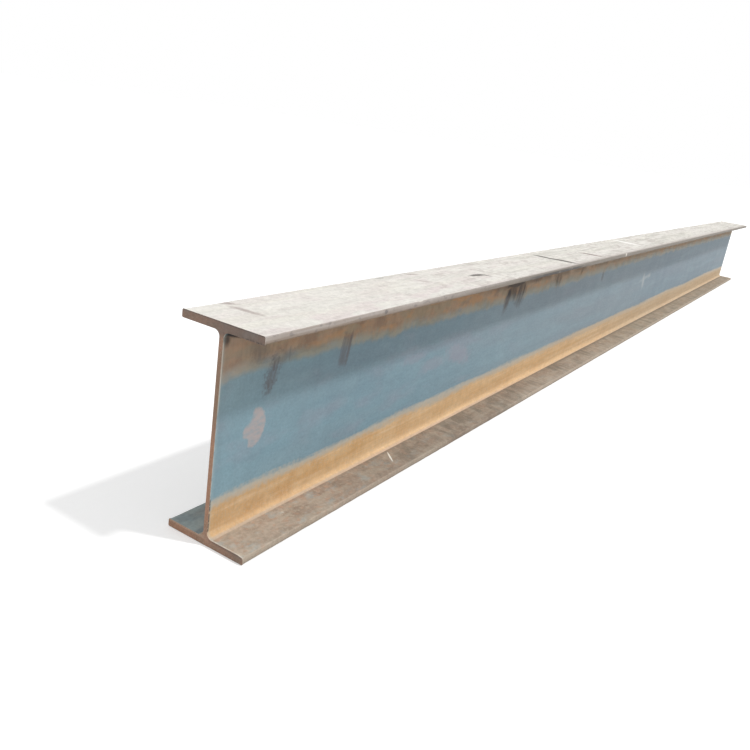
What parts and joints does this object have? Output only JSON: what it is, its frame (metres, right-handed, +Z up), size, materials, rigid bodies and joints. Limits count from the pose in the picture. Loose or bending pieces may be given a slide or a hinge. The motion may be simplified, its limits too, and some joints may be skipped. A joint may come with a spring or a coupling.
{
  "type": "steel i-beam",
  "caption": "Hot rolled steel I-beam with parallel flanges, filleted roots and square sawn ends, standing on its bottom flange.",
  "frame": {"origin": "on the face the beam stands on, under the middle of its length and of its web", "axes": "+X along the beam's length, +Y across the flanges, +Z up the web"},
  "size_m": [6, 0.201, 0.456],
  "materials": {
    "rolled_steel": "as rolled, blue-grey mill scale with bands of ochre rust along the roots"
  },
  "bodies": {
    "root": {"rolled_beam": "rolled_steel"}
  },
  "joints": []
}
